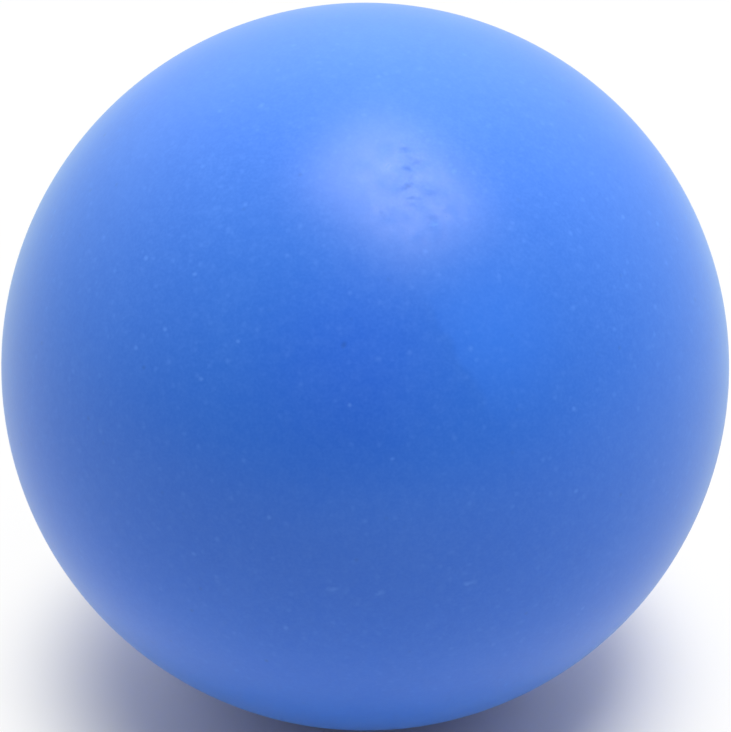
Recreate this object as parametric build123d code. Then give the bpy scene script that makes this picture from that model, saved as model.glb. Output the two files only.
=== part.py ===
from build123d import *
import os
from math import sqrt

# Inflatable rubber dodgeball: a seamless moulded cover over a thread-wound air bladder,
# with a self-sealing needle valve at the back.
#
# Millimetres. The origin is the centre of the ball, +Z is up, and +Y is the valve's axis,
# which points out of the ball. Every piece is round about that axis, so each one is a half
# outline, drawn as (distance from the axis, height along the axis), that is turned about +Y.

# The ball and its layers, from the outside in
ball_diameter = 216.0  # inflated: the 8.5 inch size
cover_wall = 1.4  # moulded rubber skin
winding_thickness = 0.4  # nylon thread, laid in great circles over the bladder
bladder_wall = 0.8  # butyl rubber
bond_line = 0.1  # rubber cement between two bonded pieces

# The needle and the valve core that seals round it
needle_radius = 1.05  # open passage for a 2 mm inflating needle
needle_depth = 9.0  # straight passage and funnel together, below the valve's face
funnel_depth = 1.5  # lead-in at the mouth of the passage
funnel_flare = 0.9  # how much wider the mouth is than the passage, on the radius
core_wall = 1.65  # rubber round the passage, in the shank
head_overhang = 1.2  # the head stands out this far past the shank
head_thickness = 1.6
neck_length = 5.0  # shank between the head and the bulb
bulb_overhang = 0.9  # the bulb that locks under the neck stands out this far past the shank
bulb_length = 4.0
nose_length = 2.5  # tapered end, which eases the core in
nose_radius = 1.6
core_edge = 0.3  # moulded rounding of the core's outer edges and of the funnel's mouth
core_fit = 0.05  # clearance between the core and the boot

# The valve boot, bonded to the inside of the bladder
boot_wall = 2.5  # rubber round the core's head
boot_length = 17.0  # from the valve's face to the barrel's open end
barrel_taper = 0.8  # the barrel is this much slimmer at its end, on the radius
flange_width = 10.0  # how far the bonding flange reaches past the stem
flange_root = 2.0  # flange thickness beside the barrel
flange_edge = 0.6  # flange thickness at its rim
flange_fillet = 1.5  # between the flange and the barrel
boot_edge = 0.4  # moulded rounding of the face's rim and of the barrel's end

# What surrounds the valve
eye_width = 3.5  # sloping dish in the cover, outside the boot's face
eye_floor_wall = 0.5  # cover rubber left at the bottom of the dish
eye_rim_fillet = 2.0  # soft edge of the dish
eye_lip_fillet = 0.25  # rounding of the cover's edge beside the boot's face
patch_width = 6.5  # rubber patch in the opening that the thread leaves round the valve

# Radii of the layers
cover_outer = ball_diameter / 2
cover_inner = cover_outer - cover_wall
winding_outer = cover_inner - bond_line
winding_inner = winding_outer - winding_thickness
bladder_outer = winding_inner - bond_line
bladder_inner = bladder_outer - bladder_wall

# Radii about the valve's axis
shank_radius = needle_radius + core_wall
head_radius = shank_radius + head_overhang
bulb_radius = shank_radius + bulb_overhang
stem_radius = head_radius + core_fit + boot_wall
hole_radius = stem_radius + bond_line
flange_radius = stem_radius + flange_width
eye_radius = hole_radius + eye_width
patch_radius = hole_radius + patch_width
opening_radius = patch_radius + bond_line


def height_on_sphere(sphere_radius, axis_distance):
    """Height along the valve's axis of a sphere's surface at that distance from the axis."""
    return sqrt(sphere_radius**2 - axis_distance**2)


# Heights along the valve's axis, from the face that shows down to the barrel's end
valve_face = height_on_sphere(cover_inner, hole_radius) + eye_floor_wall
head_seat = valve_face - head_thickness
neck_end = head_seat - neck_length
bulb_top = neck_end - core_fit
bulb_end = bulb_top - bulb_length
core_end = bulb_end - nose_length
barrel_end = valve_face - boot_length


def turned(outline):
    """The solid that a closed half outline sweeps when it is turned about the valve's axis."""
    return revolve(make_face(outline), Axis.Y)


def rounded(face, corners, radius):
    """A half outline's face with some of its corners rounded."""
    return fillet([face.vertices().sort_by_distance(corner)[0] for corner in corners], radius)


def sphere_arc(sphere_radius, first_distance, last_distance):
    """Arc of a sphere's outline on the valve's side, between two distances from the axis."""
    middle = (first_distance + last_distance) / 2
    points = [(d, height_on_sphere(sphere_radius, d)) for d in (first_distance, middle, last_distance)]
    return ThreePointArc(*points)


def ball_arc(sphere_radius, edge_distance):
    """Arc of a sphere's outline from the edge of the valve's opening round to the opposite pole."""
    hole_edge = (edge_distance, height_on_sphere(sphere_radius, edge_distance))
    return ThreePointArc(hole_edge, (sphere_radius, 0), (0, -sphere_radius))


def hollow_ball(outer_radius, inner_radius, edge_distance):
    """A spherical layer with a round opening about the valve's axis."""
    outside = ball_arc(outer_radius, edge_distance)
    inside = ball_arc(inner_radius, edge_distance)
    pole = Line(outside @ 1, inside @ 1)
    hole_wall = Line(inside @ 0, outside @ 0)
    return turned(outside + pole + inside + hole_wall)


def make_cover():
    """Seamless outer skin, dished round the valve so that the valve's face lies below the surface."""
    outside = ball_arc(cover_outer, eye_radius)
    inside = ball_arc(cover_inner, hole_radius)
    pole = Line(outside @ 1, inside @ 1)
    hole_wall = Line(inside @ 0, (hole_radius, valve_face))
    dish = Line(hole_wall @ 1, outside @ 0)
    face = make_face(outside + pole + inside + hole_wall + dish)
    face = rounded(face, [outside @ 0], eye_rim_fillet)
    face = rounded(face, [hole_wall @ 1], eye_lip_fillet)
    return revolve(face, Axis.Y)


def make_winding():
    """Thread layer over the bladder, with the opening that the thread leaves round the valve."""
    return hollow_ball(winding_outer, winding_inner, opening_radius)


def make_patch():
    """Rubber ring that fills the winding's opening and carries the cover round the valve."""
    outside = sphere_arc(winding_outer, hole_radius, patch_radius)
    inside = sphere_arc(winding_inner, hole_radius, patch_radius)
    return turned(outside + Line(outside @ 1, inside @ 1) + inside + Line(inside @ 0, outside @ 0))


def make_bladder():
    """Air bladder, holed for the boot's stem."""
    return hollow_ball(bladder_outer, bladder_inner, hole_radius)


def make_boot():
    """Flanged rubber housing of the valve: a stem out through the layers and a barrel into the ball."""
    seat_sphere = bladder_inner - bond_line
    bond = sphere_arc(seat_sphere, stem_radius, flange_radius)
    rim_scale = 1 - flange_edge / seat_sphere
    rim = Line(bond @ 1, (bond @ 1) * rim_scale)
    flange_under = height_on_sphere(seat_sphere, stem_radius) - flange_root
    end_radius = stem_radius - barrel_taper
    seat_radius = head_radius + core_fit
    neck_radius = shank_radius + core_fit
    pocket_radius = bulb_radius + core_fit
    barrel = Polyline(rim @ 1, (stem_radius, flange_under), (end_radius, barrel_end))
    bore = Polyline(
        (end_radius, barrel_end),
        (pocket_radius, barrel_end),
        (pocket_radius, neck_end),
        (neck_radius, neck_end),
        (neck_radius, head_seat),
        (seat_radius, head_seat),
        (seat_radius, valve_face),
        (stem_radius, valve_face),
        bond @ 0,
    )
    face = make_face(bond + rim + barrel + bore)
    face = rounded(face, [(stem_radius, flange_under)], flange_fillet)
    face = rounded(face, [(stem_radius, valve_face), (end_radius, barrel_end)], boot_edge)
    return revolve(face, Axis.Y)


def make_core():
    """Self-sealing insert: a head in the valve's face, a shank, a bulb locked under the neck and a nose.
    The passage ends inside the bulb, and a slit through the closed end below it opens only for a needle."""
    passage_end = valve_face - needle_depth
    mouth = (needle_radius + funnel_flare, valve_face)
    head_rim = (head_radius, valve_face)
    bulb_shoulder = (bulb_radius, bulb_top)
    bulb_edge = (bulb_radius, bulb_end)
    nose_edge = (nose_radius, core_end)
    outline = Polyline(
        mouth,
        head_rim,
        (head_radius, head_seat),
        (shank_radius, head_seat),
        (shank_radius, bulb_top),
        bulb_shoulder,
        bulb_edge,
        nose_edge,
        (0, core_end),
        (0, passage_end - needle_radius),
        (needle_radius, passage_end),
        (needle_radius, valve_face - funnel_depth),
        close=True,
    )
    face = rounded(make_face(outline), [mouth, head_rim, bulb_shoulder, bulb_edge, nose_edge], core_edge)
    return revolve(face, Axis.Y)


pieces = {
    "cover": make_cover(),
    "thread_winding": make_winding(),
    "valve_patch": make_patch(),
    "bladder": make_bladder(),
    "valve_boot": make_boot(),
    "valve_core": make_core(),
}

os.makedirs("parts", exist_ok=True)
for name, piece in pieces.items():
    export_step(piece, f"parts/{name}.step")
    print(f"{name}: {piece.volume / 1000:.2f} cm3")
print(f"valve face at y = {valve_face:.3f}, stem radius {stem_radius:.2f}")
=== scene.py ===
from math import asin, atan, cos, pi, radians, sin

import bpy
import numpy as np
from bpy.props import FloatProperty, FloatVectorProperty, IntProperty, PointerProperty
from mathutils import Matrix, Quaternion, Vector


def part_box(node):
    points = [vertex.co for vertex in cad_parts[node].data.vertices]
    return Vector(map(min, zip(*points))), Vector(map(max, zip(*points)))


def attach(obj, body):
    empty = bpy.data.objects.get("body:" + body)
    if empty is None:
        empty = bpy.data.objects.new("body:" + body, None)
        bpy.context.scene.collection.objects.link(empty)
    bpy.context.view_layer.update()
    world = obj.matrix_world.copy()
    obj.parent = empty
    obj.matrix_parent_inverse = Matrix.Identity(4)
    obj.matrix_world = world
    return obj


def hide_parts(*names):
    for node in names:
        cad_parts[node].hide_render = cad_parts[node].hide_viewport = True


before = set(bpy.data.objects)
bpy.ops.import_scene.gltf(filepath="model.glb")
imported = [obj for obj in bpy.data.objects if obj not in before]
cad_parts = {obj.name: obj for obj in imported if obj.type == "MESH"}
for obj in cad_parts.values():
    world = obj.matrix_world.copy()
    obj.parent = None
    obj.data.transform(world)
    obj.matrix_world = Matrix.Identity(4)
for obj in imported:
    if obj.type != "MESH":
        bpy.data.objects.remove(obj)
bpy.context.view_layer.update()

bl_info = {
    "name": "Rubber Dodgeball",
    "version": (1, 0, 0),
    "blender": (4, 5, 0),
    "location": "View3D > Sidebar > Dodgeball",
    "description": "Builds the skin, valve and inner layers of a rubber dodgeball, and a stage for them",
    "category": "Add Mesh",
}

# The frame is in metres. Its origin is the centre of the ball, +Z is up, and +Y is the valve's axis,
# which points out of the back of the ball.
MILLIMETRE = 0.001
BODY = "root"
WHITE = (1, 1, 1)

# The photograph's frame and the ball's outline in it, in pixels
PICTURE_WIDTH = 731
PICTURE_HEIGHT = 732
OUTLINE_CENTRE = (365.2, 366.6)
OUTLINE_RADIUS = 364.0

# Width of the camera's sensor, in millimetres
SENSOR_WIDTH = 36.0

# Marks that stand out on the side that shows. Each one has its azimuth to the right of that side,
# its elevation and the tilt of its length, in degrees, and its length and width, in millimetres.
SPECKS = [
    (-40.2, 27.5, 0, 2.2, 2.2),
    (-45.7, 39.8, 0, 2.4, 2.2),
    (32.3, 8.0, 0, 2.2, 2.0),
    (70.4, 36.4, 0, 2.4, 2.4),
    (35.7, -15.0, 70, 2.6, 2.0),
    (61.4, 41.4, 0, 2.4, 2.0),
    (-26.9, 26.4, 0, 2.2, 1.8),
    (33.6, 20.3, 0, 2.0, 2.0),
    (-35.7, 31.6, 0, 2.2, 2.0),
    (-33.7, 40.4, 20, 2.4, 1.8),
    (-25.5, -0.4, 0, 2.2, 1.8),
    (-13.9, 8.2, 0, 2.0, 2.0),
    (-2.4, 25.6, 0, 1.8, 1.8),
    (-21.8, 32.8, 0, 2.0, 1.6),
    (-11.8, -11.2, 70, 2.6, 2.0),
    (4.0, 17.9, 15, 2.0, 1.6),
]
LINT = [
    (2.1, -3.4, 25, 4.6, 2.2),
    (15.2, -3.1, 7, 5.6, 2.0),
    (-4.6, -2.8, 12, 5.2, 2.0),
    (15.6, 50.8, 5, 4.0, 1.8),
]
NICKS = [
    (10.9, 57.1, 20, 6.6, 2.4),
    (12.1, 60.1, -36, 4.6, 2.8),
    (15.1, 61.0, 21, 4.4, 2.6),
    (12.7, 63.5, -15, 3.6, 2.6),
    (11.9, 55.2, -6, 6.4, 2.0),
]
FAINT_NICKS = [
    (3.9, 53.1, -62, 5.0, 2.6),
    (16.6, 55.7, -13, 6.5, 3.2),
    (15.4, 51.9, -33, 4.5, 3.0),
    (10.7, 54.1, -6, 7.0, 1.8),
    (18.2, 52.7, -8, 6.5, 2.0),
    (12.3, 58.4, 45, 4.5, 2.2),
    (13.4, 61.8, -55, 3.5, 2.0),
]
DIRT = [
    (-3.6, 34.0, 70, 3.2, 2.2),
    (83.3, 57.7, -32, 3.0, 2.2),
]

# The line along which the painted light patch stops, by the azimuth and elevation of its two ends, in degrees
PALE_LINE = [(9.0, 39.3), (17.0, 26.1)]

# Noise lies between 0 and 1, about this mean
NOISE_MEAN = 0.5

# Levels of noise where a second colour starts to show, and where it shows in full
CLOUD_LEVELS = (0.42, 0.75)
BLOOM_LEVELS = (0.3, 0.8)
DRY_LEVELS = (0.35, 0.8)
THREAD_LEVELS = (0.35, 0.7)

# Turns that set one pattern apart from another, in radians about X, Y and Z
UNTURNED = (0, 0, 0)
FAINT_TURN = (0.7, 0.2, 0.5)
DIRT_TURN = (0.4, 0.9, 0.2)
THREAD_TURNS = [(0.5, 0.2, 0.6), (-0.6, 0.3, -0.4)]

# Moulded black rubber: the size of its grain as a share of its lumps' size, the depth of the grain,
# and how much the lumps vary the roughness
GRAIN_TO_LUMP = 1 / 8
GRAIN_DEPTH = 0.02 * MILLIMETRE
LUMP_ROUGHNESS = 0.2

# Points along the sides of the stage's sheets, and the elevation of the drape's top
FLOOR_POINTS = 9
DRAPE_COLUMNS = 49
DRAPE_ROWS = 17
DRAPE_TOP = 0.49 * pi


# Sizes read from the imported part
def turned_corners(node):
    """Distance from the valve's axis and height along it, for each corner of a turned CAD node."""
    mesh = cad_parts[node].data
    corners = np.empty(len(mesh.vertices) * 3, np.float32)
    mesh.vertices.foreach_get("co", corners)
    x, y, z = corners.reshape(-1, 3).astype(float).T
    return np.hypot(x, z), y


def hole_radius_of(node):
    """Radius of the opening that a turned node leaves round the valve's axis."""
    distance, height = turned_corners(node)
    return distance[height > 0].min()


def inner_radius_of(node):
    """Radius of the inner wall of a hollow ball."""
    return np.hypot(*turned_corners(node)).min()


BALL_RADIUS = -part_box("cover")[0].y
SKIN_INNER_RADIUS = inner_radius_of("cover")
HOLE_RADIUS = hole_radius_of("cover")
VALVE_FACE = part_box("valve_boot")[1].y
FLOOR_HEIGHT = -BALL_RADIUS


# Directions
def from_angles(azimuth, elevation):
    """Direction from the ball: azimuth to the right of the photograph's side, elevation above the horizon."""
    return Vector((sin(azimuth) * cos(elevation), -cos(azimuth) * cos(elevation), sin(elevation)))


def on_ball(azimuth, elevation):
    """Point on the ball's surface in that direction."""
    return from_angles(azimuth, elevation) * BALL_RADIUS


# Shader trees
class Wire:
    """A socket of a shader tree. Arithmetic on it adds Math nodes, and node() adds any other kind."""

    def __init__(self, tree, socket=None):
        self.tree = tree
        self.socket = socket

    def node(self, kind, inputs=None, settings=None, output=0):
        """Adds a node, with its settings first and then the values or links of its sockets."""
        made = self.tree.nodes.new(kind)
        for name, value in (settings or {}).items():
            setattr(made, name, value)
        for name, value in (inputs or {}).items():
            if isinstance(value, Wire):
                self.tree.links.new(value.socket, made.inputs[name])
            else:
                made.inputs[name].default_value = value
        return Wire(self.tree, made.outputs[output] if made.outputs else None)

    def math(self, operation, first, second):
        """A Math node on two wires or numbers."""
        return self.node("ShaderNodeMath", {0: first, 1: second}, {"operation": operation})

    def __add__(self, other):
        return self.math("ADD", self, other)

    def __radd__(self, other):
        return self.math("ADD", other, self)

    def __sub__(self, other):
        return self.math("SUBTRACT", self, other)

    def __rsub__(self, other):
        return self.math("SUBTRACT", other, self)

    def __mul__(self, other):
        return self.math("MULTIPLY", self, other)

    def __rmul__(self, other):
        return self.math("MULTIPLY", other, self)

    def step(self, low, high):
        """0 at low, 1 at high, and a smooth rise between them. Low may be the larger of the two."""
        inputs = {"Value": self, "From Min": low, "From Max": high}
        return self.node("ShaderNodeMapRange", inputs, {"interpolation_type": "SMOOTHSTEP"})

    def tint(self, color, other):
        """This wire's share of another colour, mixed into a colour."""
        inputs = {0: self, 6: rgba(color), 7: rgba(other)}
        return self.node("ShaderNodeMix", inputs, {"data_type": "RGBA"}, output=2)

    def noise(self, size, detail=2.0, roughness=0.5):
        """Noise between 0 and 1, in lumps of about that size, at this place."""
        inputs = {"Vector": self, "Scale": 1 / size, "Detail": detail, "Roughness": roughness}
        return self.node("ShaderNodeTexNoise", inputs, {"normalize": True}, output="Fac")

    def cells(self, size):
        """Distance to the nearest scattered point, in cells of that size, and that point's random number."""
        inputs = {"Vector": self, "Scale": 1 / size, "Randomness": 1.0}
        nearest = self.node("ShaderNodeTexVoronoi", inputs, {"feature": "F1"}, output="Distance")
        color = Wire(self.tree, nearest.socket.node.outputs["Color"])
        number = self.node("ShaderNodeSeparateColor", {"Color": color}, output="Red")
        return nearest, number

    def distance(self, point):
        """Distance of this place from a point."""
        inputs = {0: self, 1: point}
        return self.node("ShaderNodeVectorMath", inputs, {"operation": "DISTANCE"}, "Value")

    def along(self, direction):
        """How far this place lies along a direction from the origin."""
        inputs = {0: self, 1: direction}
        return self.node("ShaderNodeVectorMath", inputs, {"operation": "DOT_PRODUCT"}, "Value")

    def warped(self, size, amount):
        """This place, pushed about by noise in lumps of that size, by about that amount."""
        inputs = {"Vector": self, "Scale": 1 / size, "Detail": 1.0}
        lumps = self.node("ShaderNodeTexNoise", inputs, {"normalize": False}, output="Color")
        push = self.node("ShaderNodeVectorMath", {0: lumps, "Scale": amount}, {"operation": "SCALE"})
        return self.node("ShaderNodeVectorMath", {0: self, 1: push}, {"operation": "ADD"})

    def spot(self, centre, turn, half_sizes):
        """1 in the middle of a turned ellipsoid, and a smooth fall to 0 at its surface."""
        inputs = {"Vector": self, "Location": centre, "Rotation": turn, "Scale": half_sizes}
        inside = self.node("ShaderNodeMapping", inputs, {"vector_type": "TEXTURE"})
        return inside.distance((0, 0, 0)).step(1.0, 0.0)

    def turned(self, rotation, scale=(1, 1, 1)):
        """This place, turned and then stretched."""
        inputs = {"Vector": self, "Rotation": rotation, "Scale": scale}
        return self.node("ShaderNodeMapping", inputs, {"vector_type": "POINT"})


def rgba(color):
    """A colour as a socket takes it: a wire as it is, and three numbers with a full alpha."""
    return color if isinstance(color, Wire) else (*color, 1.0)


def new_material(name):
    """An empty material, the wire that starts its tree and the place on the piece in object coordinates."""
    material = bpy.data.materials.new(name)
    material.use_nodes = True
    material.node_tree.nodes.clear()
    start = Wire(material.node_tree)
    return material, start, start.node("ShaderNodeTexCoord", output="Object")


def finish_material(start, **sockets):
    """Adds the surface shader with these sockets, and the material's output."""
    inputs = {name.replace("_", " "): value for name, value in sockets.items()}
    surface = start.node("ShaderNodeBsdfPrincipled", inputs)
    start.node("ShaderNodeOutputMaterial", {"Surface": surface})


def bumped(start, height, depth):
    """The normal that a height between 0 and 1 gives, for relief of that depth."""
    return start.node("ShaderNodeBump", {"Height": height, "Distance": depth, "Strength": 1.0})


# Meshes
def turned_surface(outline, steps):
    """Closed surface that a half outline sweeps round the valve's axis, as points and faces: a point at
    distance d from the axis and height h goes to (d cos a, h, d sin a) for every angle a. The outline runs
    with the solid on its left. It starts and ends on the axis, so its end points are one vertex each."""
    distance, height = outline[1:-1].T
    angle = np.linspace(0, 2 * pi, steps, endpoint=False)
    around = np.stack([np.cos(angle), np.zeros(steps), np.sin(angle)], -1)
    along = np.stack([np.zeros_like(height), height, np.zeros_like(height)], -1)
    rings = (distance[:, None, None] * around + along[:, None, :]).reshape(-1, 3)
    poles = np.array([[0, outline[0, 1], 0], [0, outline[-1, 1], 0]])
    index = np.arange(len(rings)).reshape(len(distance), steps)
    beside = np.roll(index, -1, axis=1)
    quads = np.stack([index[:-1], index[1:], beside[1:], beside[:-1]], -1).reshape(-1, 4)
    first_pole = np.full(steps, len(rings))
    last_pole = first_pole + 1
    first_fan = np.stack([first_pole, index[0], beside[0]], -1)
    last_fan = np.stack([index[-1], last_pole, beside[-1]], -1)
    return np.concatenate([rings, poles]), [*quads.tolist(), *first_fan.tolist(), *last_fan.tolist()]


def smooth_mesh(name, points, faces):
    """A mesh of these points and faces, shaded smooth."""
    mesh = bpy.data.meshes.new(name)
    mesh.from_pydata(points.tolist(), [], faces)
    mesh.shade_smooth()
    return mesh


def arc(radius, start, end, steps):
    """Arc about the ball's centre between two angles above the equator, as (distance, height) rows."""
    angle = np.linspace(start, end, steps)
    return radius * np.stack([np.cos(angle), np.sin(angle)], -1)


def add_piece(name, mesh, material, node):
    """Puts a new piece in place of a CAD node, on the ball's one body."""
    piece = bpy.data.objects.new(name, mesh)
    bpy.context.scene.collection.objects.link(piece)
    mesh.materials.append(material)
    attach(piece, BODY)
    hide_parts(node)


def dress_node(node, material):
    """Gives a CAD node its finish."""
    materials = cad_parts[node].data.materials
    materials.clear()
    materials.append(material)


# The skin
def skin_outline(skin):
    """Half outline of the skin: the outer arc from the pole opposite the valve, the dish round the valve,
    where the surface sinks below the sphere by a smooth step of the distance from the axis, the rounded edge
    and the wall of the valve's hole, and the inner arc back to the pole."""
    dish_radius = HOLE_RADIUS + skin.dish_width
    outside = arc(BALL_RADIUS, -pi / 2, np.arccos(dish_radius / BALL_RADIUS), skin.outer_rings)
    lip = HOLE_RADIUS + skin.edge_round
    distance = np.linspace(dish_radius, lip, skin.dish_rings)[1:]
    share = (dish_radius - distance) / (dish_radius - lip)
    depth = np.sqrt(BALL_RADIUS**2 - lip**2) - VALVE_FACE
    sunk = depth * share**2 * (3 - 2 * share)
    dish = np.stack([distance, np.sqrt(BALL_RADIUS**2 - distance**2) - sunk], -1)
    turn = np.linspace(0, pi / 2, skin.edge_rings)[1:]
    edge = np.array([lip, VALVE_FACE]) - skin.edge_round * np.stack([np.sin(turn), 1 - np.cos(turn)], -1)
    inside = arc(SKIN_INNER_RADIUS, np.arccos(HOLE_RADIUS / SKIN_INNER_RADIUS), -pi / 2, skin.inner_rings)
    return np.concatenate([outside, dish, edge, inside])


def mark_spots(place, marks):
    """Soft ellipses on the ball, one for each mark: 1 in the middle of a mark and 0 away from them all."""
    spots = []
    for azimuth, elevation, tilt, length, width in marks:
        centre = on_ball(radians(azimuth), radians(elevation))
        round_axis = Matrix.Rotation(radians(azimuth), 3, "Z")
        lifted = Matrix.Rotation(-radians(elevation), 3, "X")
        tilted = Matrix.Rotation(-radians(tilt), 3, "Y")
        turn = (round_axis @ lifted @ tilted).to_euler()
        half_sizes = Vector((length, width, width)) * MILLIMETRE / 2
        spots.append(place.spot(centre, turn, half_sizes))
    return sum(spots)


def scattered(place, spacing, radius):
    """Soft round specks, strewn about that far apart, each with a strength of its own up to 1."""
    distance, number = place.cells(spacing)
    return distance.step(radius / spacing, 0.0) * number * number


def skin_marks(place, skin):
    """Dust, dirt and nicks on the skin: each is 1 in the middle of a clear mark and 0 away from its marks."""
    ragged = place.warped(skin.ragged_size, skin.ragged_amount)
    specks = scattered(place, skin.speck_spacing, skin.speck_radius) * skin.speck_strength
    faint_specks = scattered(place.turned(FAINT_TURN), skin.faint_spacing, skin.speck_radius)
    dust = specks + mark_spots(place, SPECKS) + faint_specks * skin.faint_strength + mark_spots(ragged, LINT)
    dirt = mark_spots(place, DIRT) + scattered(place.turned(DIRT_TURN), skin.dirt_spacing, skin.dirt_radius)
    nicks = mark_spots(ragged, NICKS) + mark_spots(ragged, FAINT_NICKS) * skin.faint_nick_strength
    return dust, dirt, nicks


def painted_light_patch(place, skin):
    """A patch of painted light on the ball, a paler copy of the rubber's colour. It fades out
    with the distance from its middle, and stops on one side along a line that bends a little."""
    reach = place.distance(on_ball(skin.pale_azimuth, skin.pale_elevation)).step(skin.pale_reach, 0.0)
    line_start, line_end = (from_angles(radians(side), radians(lift)) for side, lift in PALE_LINE)
    across_line = line_start.cross(line_end).normalized()
    bent = place.warped(skin.pale_wave, skin.pale_wave * skin.pale_bend)
    return reach * bent.along(across_line).step(0.0, skin.pale_edge)


def skin_color(place, mottle, grain, skin):
    """Colour of the rubber under its marks: painted shade that tones it down toward the top and deepens it
    on the side facing the camera, clouded by bloom, and a patch of painted light."""
    height = place.node("ShaderNodeSeparateXYZ", {"Vector": place}, output="Z")
    # Painted shade: the blue is toned down toward the top, where the light falls brightest.
    color = height.step(skin.top_shade_start, skin.top_shade_end).tint(skin.rubber_color, skin.top_shade_color)
    # Painted shade: a deeper, less green colour on the side that faces the camera.
    front_shade_middle = on_ball(skin.front_shade_azimuth, skin.front_shade_elevation)
    color = place.distance(front_shade_middle).step(skin.front_shade_reach, 0.0).tint(color, skin.front_shade_color)
    clouds = place.noise(skin.cloud_size, detail=3.0).step(*CLOUD_LEVELS) * skin.cloud_share
    mottling = mottle.step(*BLOOM_LEVELS) * skin.mottle_share
    graining = grain.step(*BLOOM_LEVELS) * skin.grain_share
    color = (clouds + mottling + graining).tint(color, skin.dust_color)
    # Painted light: a brighter copy of the rubber's blue in one patch, with one clear edge.
    return (painted_light_patch(place, skin) * skin.painted_light_share).tint(color, skin.painted_light_color)


def skin_rubber(skin):
    """Satin blue rubber with dust, lint and dirt on it, and a rubbed patch whose polished blotches, dents,
    streaks and nicks break up the reflections."""
    material, start, place = new_material("cover_rubber")
    mottle = place.noise(skin.mottle_size)
    grain = place.noise(skin.grain_size)
    dust, dirt, nicks = skin_marks(place, skin)
    color = skin_color(place, mottle, grain, skin)
    color = (dirt * skin.dirt_share + nicks * skin.nick_share).tint(color, skin.dirt_color)
    color = (dust * skin.dust_share).tint(color, skin.dust_color)

    patch_middle = on_ball(skin.patch_azimuth, skin.patch_elevation)
    rubbed = place.distance(patch_middle).step(skin.patch_radius, skin.patch_radius / 2)
    polished = rubbed * (place.noise(skin.blotch_size) - NOISE_MEAN)
    roughness = skin.roughness + (mottle - NOISE_MEAN) * skin.mottle_roughness
    roughness = roughness + dust * skin.dust_roughness + nicks * skin.nick_roughness
    roughness = roughness - polished * skin.blotch_polish

    dents = place.noise(skin.dent_size)
    stretch = (skin.streak_width / skin.streak_length, 1, 1)
    streaks = place.turned(UNTURNED, stretch).noise(skin.streak_width)
    scuffs = rubbed * (dents * skin.dent_relief + streaks * skin.streak_relief)
    relief = mottle * skin.mottle_relief + grain * skin.grain_relief + scuffs - nicks * skin.nick_relief
    finish_material(
        start,
        Base_Color=color,
        Roughness=roughness,
        Normal=bumped(start, relief, skin.relief_depth),
        IOR=skin.ior,
        Sheen_Weight=skin.sheen,
        Sheen_Roughness=skin.sheen_roughness,
        Sheen_Tint=rgba(skin.sheen_color),
    )
    return material


# The valve and the inner layers
def moulded_rubber(name, color, dry_color, lump_size, roughness):
    """Black moulded rubber, greyed in soft lumps where it is dry, with a fine grain."""
    material, start, place = new_material(name)
    lumps = place.noise(lump_size, detail=4.0, roughness=0.6)
    grain = place.noise(lump_size * GRAIN_TO_LUMP, detail=1.0)
    finish_material(
        start,
        Base_Color=lumps.step(*DRY_LEVELS).tint(color, dry_color),
        Roughness=roughness + (lumps - NOISE_MEAN) * LUMP_ROUGHNESS,
        Normal=bumped(start, grain, GRAIN_DEPTH),
    )
    return material


def wound_thread(layers):
    """Nylon thread set in cement: fine ridges that cross in two directions, with amber cement between."""
    material, start, place = new_material("nylon_thread")
    stretch = (1, 1, layers.thread_size / layers.thread_run)
    ridges = [place.turned(turn, stretch).noise(layers.thread_size, detail=1.0) for turn in THREAD_TURNS]
    ridge = start.math("MAXIMUM", *ridges)
    finish_material(
        start,
        Base_Color=ridge.step(*THREAD_LEVELS).tint(layers.cement_color, layers.thread_color),
        Roughness=layers.cement_roughness - ridge * layers.thread_polish,
        Normal=bumped(start, ridge, layers.thread_size / 2),
    )
    return material


# The stage
def view_axes(stage):
    """Unit vectors of the photograph's view: to the right, up the picture, and toward the camera."""
    lift = stage.camera_elevation
    return Vector((1, 0, 0)), Vector((0, sin(lift), cos(lift))), Vector((0, -cos(lift), sin(lift)))


def aimed(direction, roll=0.0):
    """Rotation of a lamp or camera that looks back along a direction, rolled about it."""
    facing = (-direction).to_track_quat("-Z", "Y")
    return facing @ Quaternion((0, 0, 1), roll)


def add_camera(stage):
    """Camera at the distance where the ball's outline is as large as the photograph's, and moved aside
    so that the outline lies as it does there."""
    right, up, toward = view_axes(stage)
    focal_pixels = stage.lens / SENSOR_WIDTH * max(PICTURE_WIDTH, PICTURE_HEIGHT)
    distance = BALL_RADIUS / sin(atan(OUTLINE_RADIUS / focal_pixels))
    pixel = distance / focal_pixels
    across = (PICTURE_WIDTH / 2 - OUTLINE_CENTRE[0]) * pixel
    above = (OUTLINE_CENTRE[1] - PICTURE_HEIGHT / 2) * pixel
    data = bpy.data.cameras.new("camera")
    data.lens = stage.lens
    data.sensor_width = SENSOR_WIDTH
    camera = bpy.data.objects.new("camera", data)
    camera.location = toward * distance + right * across + up * above
    camera.rotation_mode = "QUATERNION"
    camera.rotation_quaternion = aimed(toward)
    bpy.context.scene.collection.objects.link(camera)
    bpy.context.scene.camera = camera


def add_softbox(stage):
    """Rectangular lamp above the ball. Its power is its radiance times its area times pi."""
    direction = from_angles(stage.key_azimuth, stage.key_elevation)
    data = bpy.data.lights.new("softbox", "AREA")
    data.shape = "RECTANGLE"
    data.size = stage.key_width
    data.size_y = stage.key_length
    data.energy = stage.key_radiance * stage.key_width * stage.key_length * pi
    lamp = bpy.data.objects.new("softbox", data)
    lamp.location = direction * stage.key_distance
    lamp.rotation_mode = "QUATERNION"
    lamp.rotation_quaternion = aimed(direction, stage.key_roll)
    bpy.context.scene.collection.objects.link(lamp)


def in_sight(start):
    """1 on rays from the camera, a reflection or clear glass, which show the background, and 0 on others."""
    kinds = ("Camera", "Glossy", "Transmission")
    camera, reflected, clear = (start.node("ShaderNodeLightPath", output=f"Is {kind} Ray") for kind in kinds)
    return start.math("MAXIMUM", start.math("MAXIMUM", camera, reflected), clear)


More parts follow.
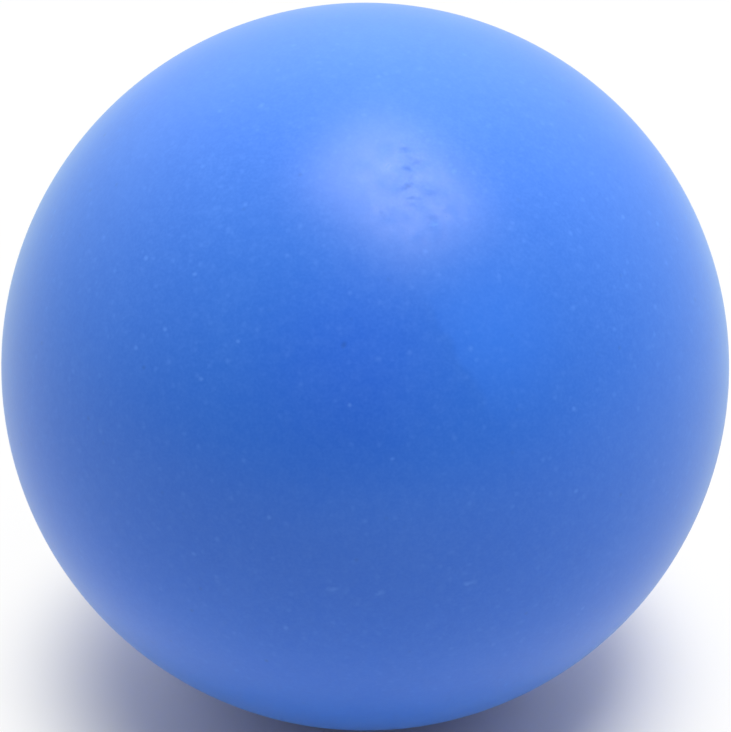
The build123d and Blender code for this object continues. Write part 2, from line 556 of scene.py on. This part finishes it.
def add_surroundings(stage):
    """White tent, brighter toward the top, whose light on the ball is a share of the white that it shows."""
    world = bpy.data.worlds.new("tent")
    world.use_nodes = True
    world.node_tree.nodes.clear()
    start = Wire(world.node_tree)
    direction = start.node("ShaderNodeTexCoord", output="Generated")
    height = start.node("ShaderNodeSeparateXYZ", {"Vector": direction}, output="Z")
    shown = 1.0 + height.step(0.0, 1.0) * stage.zenith_gain
    strength = shown * (stage.tent_light + (1 - stage.tent_light) * in_sight(start))
    light = start.node("ShaderNodeBackground", {"Color": rgba(WHITE), "Strength": strength})
    start.node("ShaderNodeOutputWorld", {"Surface": light})
    bpy.context.scene.world = world


def add_sheet(name, points, material):
    """Adds a part of the stage, which isn't part of the ball: a sheet through a grid of points."""
    rows, columns = points.shape[:2]
    index = np.arange(rows * columns).reshape(rows, columns)
    faces = np.stack([index[:-1, :-1], index[:-1, 1:], index[1:, 1:], index[1:, :-1]], -1).reshape(-1, 4)
    mesh = smooth_mesh(name, points.reshape(-1, 3), faces.tolist())
    mesh.materials.append(material)
    sheet = bpy.data.objects.new(name, mesh)
    bpy.context.scene.collection.objects.link(sheet)
    return sheet


def floor_paper(stage):
    """Matt paper that shows white, apart from the ball's shadow, which fades out away from the ball."""
    material, start, place = new_material("floor")
    paper = start.node("ShaderNodeBsdfDiffuse", {"Color": rgba(stage.floor_color)})
    white = start.node("ShaderNodeEmission", {"Color": rgba(WHITE)})
    away = place.distance((0, 0, FLOOR_HEIGHT))
    share = in_sight(start) * away.step(stage.shadow_start, stage.shadow_end) * stage.floor_white
    surface = start.node("ShaderNodeMixShader", {0: share, 1: paper, 2: white})
    start.node("ShaderNodeOutputMaterial", {"Surface": surface})
    return material


def add_floor(stage):
    """Level square under the ball."""
    side = np.linspace(-stage.floor_size, stage.floor_size, FLOOR_POINTS)
    x, y = np.meshgrid(side, side)
    points = np.stack([x, y, np.full_like(x, FLOOR_HEIGHT)], -1)
    add_sheet("floor", points, floor_paper(stage))


def drape_cloth(stage, middle):
    """Dark cloth that thins out to nothing away from its middle, by the angle that the ball sees between."""
    material, start, place = new_material("drape")
    outward = start.node("ShaderNodeVectorMath", {0: place}, {"operation": "NORMALIZE"})
    cover = outward.along(middle).step(cos(stage.drape_edge), cos(stage.drape_middle)) * stage.drape_depth
    clear = start.node("ShaderNodeBsdfTransparent")
    cloth = start.node("ShaderNodeBsdfDiffuse", {"Color": rgba(stage.drape_color)})
    surface = start.node("ShaderNodeMixShader", {0: cover, 1: clear, 2: cloth})
    start.node("ShaderNodeOutputMaterial", {"Surface": surface})
    return material


def add_drape(stage):
    """Dark drape round the camera's side, part of a sphere about the ball. It keeps white reflections off
    the front, and the camera doesn't see it."""
    middle = from_angles(stage.drape_azimuth, stage.drape_elevation)
    foot = asin(FLOOR_HEIGHT / stage.drape_distance)
    azimuth = np.linspace(-pi, pi, DRAPE_COLUMNS)
    elevation = np.linspace(foot, DRAPE_TOP, DRAPE_ROWS)[:, None]
    level_part = np.cos(elevation)
    x = np.sin(azimuth) * level_part
    y = -np.cos(azimuth) * level_part
    z = np.sin(elevation) + np.zeros_like(x)
    points = stage.drape_distance * np.stack([x, y, z], -1)
    drape = add_sheet("drape", points, drape_cloth(stage, middle))
    drape.visible_camera = False


# Settings
def metres(name, description, default):
    """A length, which isn't negative."""
    limits = {"min": 0.0, "unit": "LENGTH", "precision": 5}
    return FloatProperty(name=name, description=description, default=default, **limits)


def metres_up(name, description, default):
    """A height above or below the ball's middle."""
    return FloatProperty(name=name, description=description, default=default, unit="LENGTH", precision=5)


def degrees(name, description, default):
    """An angle, given in degrees and kept in radians."""
    return FloatProperty(name=name, description=description, default=radians(default), subtype="ANGLE")


def fraction(name, description, default):
    """A share between 0 and 1."""
    limits = {"min": 0.0, "max": 1.0, "subtype": "FACTOR"}
    return FloatProperty(name=name, description=description, default=default, **limits)


def quantity(name, description, default):
    """A plain number, which isn't negative."""
    return FloatProperty(name=name, description=description, default=default, min=0.0)


def paint(name, description, default):
    """A colour."""
    limits = {"min": 0.0, "max": 1.0, "subtype": "COLOR"}
    return FloatVectorProperty(name=name, description=description, default=default, **limits)


def whole_number(name, description, default):
    """A count of faces or rings."""
    return IntProperty(name=name, description=description, default=default, min=3)


class SkinSettings(bpy.types.PropertyGroup):
    """Shape and finish of the moulded skin"""

    dish_width: metres("Dish width", "Width of the dish round the valve's hole", 4.2 * MILLIMETRE)
    edge_round: metres("Edge", "Rounding of the edge of the valve's hole", 0.3 * MILLIMETRE)
    steps_around: whole_number("Steps around", "Faces round the valve's axis", 256)
    outer_rings: whole_number("Outer rings", "Rings of the outer surface", 181)
    dish_rings: whole_number("Dish rings", "Rings of the dish", 17)
    edge_rings: whole_number("Edge rings", "Rings of the hole's rounded edge", 6)
    inner_rings: whole_number("Inner rings", "Rings of the inner surface", 91)

    rubber_color: paint("Rubber", "Colour of the moulded rubber", (0.025, 0.161, 0.783))
    # Painted shade: the rubber's colour toned down toward the top, where the light falls brightest.
    top_shade_color: paint("Faded rubber", "Colour of the rubber at the top", (0.029, 0.154, 0.648))
    top_shade_start: metres_up("Fade start", "Height above the middle where the fading starts", -20 * MILLIMETRE)
    top_shade_end: metres_up("Fade end", "Height above the middle where the fading is full", 100 * MILLIMETRE)
    dust_color: paint("Dust", "Bloom, settled dust and lint", (0.16, 0.40, 1.0))
    dust_share: fraction("Dust share", "How much a speck of dust hides the rubber", 0.31)
    # Painted shade: a deeper, less green colour on the side of the ball that faces the camera.
    front_shade_azimuth: degrees("Clean azimuth", "Side of the place that handling has rubbed clean", -2.0)
    front_shade_elevation: degrees("Clean elevation", "Height of the clean place above the horizon", 29.5)
    front_shade_reach: metres("Clean reach", "Reach of the clean place from its middle", 40 * MILLIMETRE)
    front_shade_color: paint("Clean rubber", "Deeper colour of the clean place", (0.0245, 0.136, 0.699))
    # Painted light: a patch right of the middle, a brighter copy of the rubber's blue with one clear edge.
    pale_azimuth: degrees("Pale azimuth", "Side of the paler place", 21.5)
    pale_elevation: degrees("Pale elevation", "Height of the paler place above the horizon", 33.0)
    pale_reach: metres("Pale reach", "Reach of the paler place from its middle", 30 * MILLIMETRE)
    pale_edge: metres("Pale edge", "Width of the paler place's one clear edge", 4 * MILLIMETRE)
    pale_wave: metres("Pale wave", "Length of the bends in that edge", 14 * MILLIMETRE)
    pale_bend: fraction("Pale bend", "Depth of those bends, as a share of their length", 1 / 3)
    painted_light_color: paint("Pale rubber", "Colour of the paler place", (0.042, 0.225, 0.97))
    painted_light_share: fraction("Pale share", "How much paler the place is", 0.3)
    dirt_color: paint("Dirt", "Small dark marks", (0.012, 0.035, 0.16))
    dirt_share: fraction("Dirt share", "How much a dark mark hides the rubber", 0.22)
    nick_share: fraction("Nick share", "How much a nick darkens the rubber", 0.17)

    roughness: fraction("Roughness", "Roughness of the satin surface", 0.349)
    mottle_roughness: fraction("Mottle roughness", "How much the mottling varies the roughness", 0.06)
    dust_roughness: fraction("Dust roughness", "How much rougher a speck of dust is", 0.1)
    nick_roughness: fraction("Nick roughness", "How much rougher a nick is", 0.14)
    blotch_polish: fraction("Blotch polish", "How much the polished blotches vary the roughness", 0.34)
    ior: quantity("IOR", "Refraction index of the surface", 1.391)
    sheen: fraction("Sheen", "Soft haze of the finest dust, seen at the rim", 0.147)
    sheen_color: paint("Sheen colour", "Colour of the haze", (0.54, 1.0, 0.5))
    sheen_roughness: fraction("Sheen roughness", "Spread of the haze", 0.49)

    cloud_size: metres("Cloud size", "Size of the bloom's clouds", 30 * MILLIMETRE)
    cloud_share: fraction("Cloud share", "How much the clouds pale the rubber", 0.03)
    mottle_size: metres("Mottle size", "Size of the mottling", 2.8 * MILLIMETRE)
    mottle_share: fraction("Mottle share", "How much the mottling pales the rubber", 0.055)
    grain_size: metres("Grain size", "Size of the fine grain", 0.9 * MILLIMETRE)
    grain_share: fraction("Grain share", "How much the fine grain pales the rubber", 0.07)
    speck_spacing: metres("Speck spacing", "Typical distance between dust specks", 4 * MILLIMETRE)
    speck_strength: fraction("Speck strength", "Strength of the strongest scattered speck", 0.66)
    faint_spacing: metres("Faint spacing", "Typical distance between faint specks", 3 * MILLIMETRE)
    faint_strength: fraction("Faint strength", "Strength of the strongest faint speck", 0.42)
    speck_radius: metres("Speck radius", "Radius of the dust specks", 1.2 * MILLIMETRE)
    dirt_spacing: metres("Dirt spacing", "Typical distance between dark marks", 8 * MILLIMETRE)
    dirt_radius: metres("Dirt radius", "Radius of the dark marks", 1.0 * MILLIMETRE)
    faint_nick_strength: fraction("Faint nicks", "Strength of the faint nicks beside the clear ones", 0.5)
    ragged_size: metres("Ragged size", "Size of the unevenness of nicks and lint", 1.4 * MILLIMETRE)
    ragged_amount: metres("Ragged amount", "How far they stray from a plain shape", 0.5 * MILLIMETRE)

    patch_azimuth: degrees("Patch azimuth", "Side of the rubbed patch", 14.0)
    patch_elevation: degrees("Patch elevation", "Height of the rubbed patch above the horizon", 56.0)
    patch_radius: metres("Patch radius", "Reach of the rubbed patch", 24 * MILLIMETRE)
    blotch_size: metres("Blotch size", "Size of the polished blotches in the rubbed patch", 5 * MILLIMETRE)
    dent_size: metres("Dent size", "Size of the shallow dents in the rubbed patch", 2.7 * MILLIMETRE)
    streak_length: metres("Streak length", "Length of the scuffs in the rubbed patch", 5 * MILLIMETRE)
    streak_width: metres("Streak width", "Width of the scuffs in the rubbed patch", 0.8 * MILLIMETRE)
    relief_depth: metres("Relief", "Depth that each kind of relief takes a share of", 0.03 * MILLIMETRE)
    mottle_relief: fraction("Mottle relief", "Share of that depth in the mottling", 0.6)
    grain_relief: fraction("Grain relief", "Share of that depth in the fine grain", 0.1)
    dent_relief: fraction("Dent relief", "Share of that depth in the dents", 0.62)
    streak_relief: fraction("Streak relief", "Share of that depth in the scuffs", 0.26)
    nick_relief: fraction("Nick relief", "Share of that depth in the nicks", 0.4)


class ValveSettings(bpy.types.PropertyGroup):
    """Finish of the valve's boot and core"""

    boot_color: paint("Boot", "Rubber of the valve's housing", (0.022, 0.022, 0.025))
    boot_roughness: fraction("Boot roughness", "Roughness of the valve's housing", 0.55)
    core_color: paint("Core", "Rubber of the valve's insert", (0.045, 0.045, 0.048))
    core_roughness: fraction("Core roughness", "Roughness of the valve's insert", 0.45)
    dry_color: paint("Dry rubber", "Rubber where it is dry and greyed", (0.06, 0.06, 0.063))
    lump_size: metres("Lump size", "Size of the greyed places", 1.5 * MILLIMETRE)


class LayerSettings(bpy.types.PropertyGroup):
    """Finish of the thread winding, the valve patch and the bladder"""

    thread_color: paint("Thread", "Nylon thread", (0.70, 0.66, 0.56))
    cement_color: paint("Cement", "Rubber cement between the threads", (0.30, 0.20, 0.09))
    thread_size: metres("Thread size", "Thickness of the thread", 0.4 * MILLIMETRE)
    thread_run: metres("Thread run", "Length over which a thread runs straight", 8 * MILLIMETRE)
    cement_roughness: fraction("Cement roughness", "Roughness of the cement", 0.9)
    thread_polish: fraction("Thread polish", "How much smoother than the cement the thread is", 0.4)
    bladder_color: paint("Bladder", "Butyl rubber of the bladder and the patch", (0.018, 0.018, 0.02))
    dry_color: paint("Talc", "Traces of talc on them", (0.13, 0.13, 0.13))
    lump_size: metres("Lump size", "Size of the talc's patches", 12 * MILLIMETRE)
    patch_roughness: fraction("Patch roughness", "Roughness of the valve patch", 0.7)
    bladder_roughness: fraction("Bladder roughness", "Roughness of the bladder", 0.6)


class StageSettings(bpy.types.PropertyGroup):
    """Camera, light, floor and surroundings"""

    camera_elevation: degrees("Elevation", "Height of the camera above the horizon", 31.0)
    lens: quantity("Lens", "Focal length in millimetres", 150.0)
    floor_color: paint("Floor", "Colour of the floor", (0.78, 0.78, 0.78))
    floor_white: fraction("Floor white", "Share of white that the floor shows away from the shadow", 0.95)
    shadow_start: metres("Shadow start", "Distance from the contact point where it starts to fade", 0.072)
    shadow_end: metres("Shadow end", "Distance from the contact point where it has faded", 0.128)
    floor_size: metres("Floor size", "Distance from the floor's middle to its edges", 12.0)
    tent_light: fraction("Tent light", "Light that the tent casts, as a share of its white", 0.76)
    zenith_gain: quantity("Zenith gain", "How much brighter than white the top of the tent is", 1.49)
    key_azimuth: degrees("Softbox azimuth", "Side of the softbox, to the right of the camera's", 61.0)
    key_elevation: degrees("Softbox elevation", "Height of the softbox above the horizon", 81.0)
    key_distance: metres("Softbox distance", "Distance of the softbox from the ball", 1.1)
    key_width: metres("Softbox width", "Width of the softbox", 0.80)
    key_length: metres("Softbox length", "Length of the softbox", 0.61)
    key_roll: degrees("Softbox roll", "Turn of the softbox about its own axis", 76.0)
    key_radiance: quantity("Softbox radiance", "Brightness of the softbox, where 1 is white", 8.2)
    drape_azimuth: degrees("Drape azimuth", "Side of the drape's middle, to the right of the camera's", 1.2)
    drape_elevation: degrees("Drape elevation", "Height of the drape's middle above the horizon", 29.0)
    drape_distance: metres("Drape distance", "Distance of the drape from the ball", 2.6)
    drape_middle: degrees("Drape middle", "Angle about its middle where the drape is thickest", 0.0)
    drape_edge: degrees("Drape edge", "Angle about its middle where the drape has thinned out", 113.0)
    drape_depth: fraction("Drape depth", "Share of the light that the drape's middle takes away", 0.94)
    drape_color: paint("Drape", "Colour of the drape", (0.03, 0.03, 0.03))


class DODGEBALL_OT_skin(bpy.types.Operator):
    """Make the moulded skin, with its dish and the hole for the valve"""

    bl_idname = "dodgeball.skin"
    bl_label = "Skin"

    def execute(self, context):
        skin = context.scene.dodgeball_skin
        points, faces = turned_surface(skin_outline(skin), skin.steps_around)
        mesh = smooth_mesh("cover_skin", points, faces)
        add_piece("cover_skin", mesh, skin_rubber(skin), "cover")
        return {"FINISHED"}


class DODGEBALL_OT_valve(bpy.types.Operator):
    """Finish the valve's boot and core"""

    bl_idname = "dodgeball.valve"
    bl_label = "Valve"

    def execute(self, context):
        valve = context.scene.dodgeball_valve
        dry = (valve.dry_color, valve.lump_size)
        boot = moulded_rubber("boot_rubber", valve.boot_color, *dry, valve.boot_roughness)
        core = moulded_rubber("core_rubber", valve.core_color, *dry, valve.core_roughness)
        dress_node("valve_boot", boot)
        dress_node("valve_core", core)
        return {"FINISHED"}


class DODGEBALL_OT_layers(bpy.types.Operator):
    """Finish the layers under the skin: thread winding, valve patch and bladder"""

    bl_idname = "dodgeball.layers"
    bl_label = "Inner layers"

    def execute(self, context):
        layers = context.scene.dodgeball_layers
        butyl = (layers.bladder_color, layers.dry_color, layers.lump_size)
        dress_node("thread_winding", wound_thread(layers))
        dress_node("valve_patch", moulded_rubber("patch_rubber", *butyl, layers.patch_roughness))
        dress_node("bladder", moulded_rubber("bladder_rubber", *butyl, layers.bladder_roughness))
        return {"FINISHED"}


class DODGEBALL_OT_stage(bpy.types.Operator):
    """Set up the camera, the light, the floor and the surroundings"""

    bl_idname = "dodgeball.stage"
    bl_label = "Stage"

    def execute(self, context):
        stage = context.scene.dodgeball_stage
        add_camera(stage)
        add_surroundings(stage)
        add_softbox(stage)
        add_floor(stage)
        add_drape(stage)
        context.scene.view_settings.view_transform = "Standard"
        return {"FINISHED"}


class DODGEBALL_PT_sidebar(bpy.types.Panel):
    """Settings and steps of the dodgeball"""

    bl_idname = "DODGEBALL_PT_sidebar"
    bl_label = "Dodgeball"
    bl_space_type = "VIEW_3D"
    bl_region_type = "UI"
    bl_category = "Dodgeball"

    def draw(self, context):
        for attribute, operator in STEPS.items():
            settings = getattr(context.scene, attribute)
            box = self.layout.box()
            box.operator(operator.bl_idname)
            for name in settings.__annotations__:
                box.prop(settings, name)


SETTINGS = {
    "dodgeball_skin": SkinSettings,
    "dodgeball_valve": ValveSettings,
    "dodgeball_layers": LayerSettings,
    "dodgeball_stage": StageSettings,
}
STEPS = {
    "dodgeball_skin": DODGEBALL_OT_skin,
    "dodgeball_valve": DODGEBALL_OT_valve,
    "dodgeball_layers": DODGEBALL_OT_layers,
    "dodgeball_stage": DODGEBALL_OT_stage,
}
CLASSES = (*SETTINGS.values(), *STEPS.values(), DODGEBALL_PT_sidebar)


def register():
    """Adds the settings, the operators and the panel to Blender."""
    for item in CLASSES:
        bpy.utils.register_class(item)
    for attribute, settings in SETTINGS.items():
        setattr(bpy.types.Scene, attribute, PointerProperty(type=settings))


def unregister():
    """Takes them out again, in the opposite order."""
    for attribute in SETTINGS:
        delattr(bpy.types.Scene, attribute)
    for item in reversed(CLASSES):
        bpy.utils.unregister_class(item)


def main():
    """Registers the add-on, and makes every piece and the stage."""
    register()
    bpy.ops.dodgeball.skin()
    bpy.ops.dodgeball.valve()
    bpy.ops.dodgeball.layers()
    bpy.ops.dodgeball.stage()


if __name__ == "__main__":
    main()
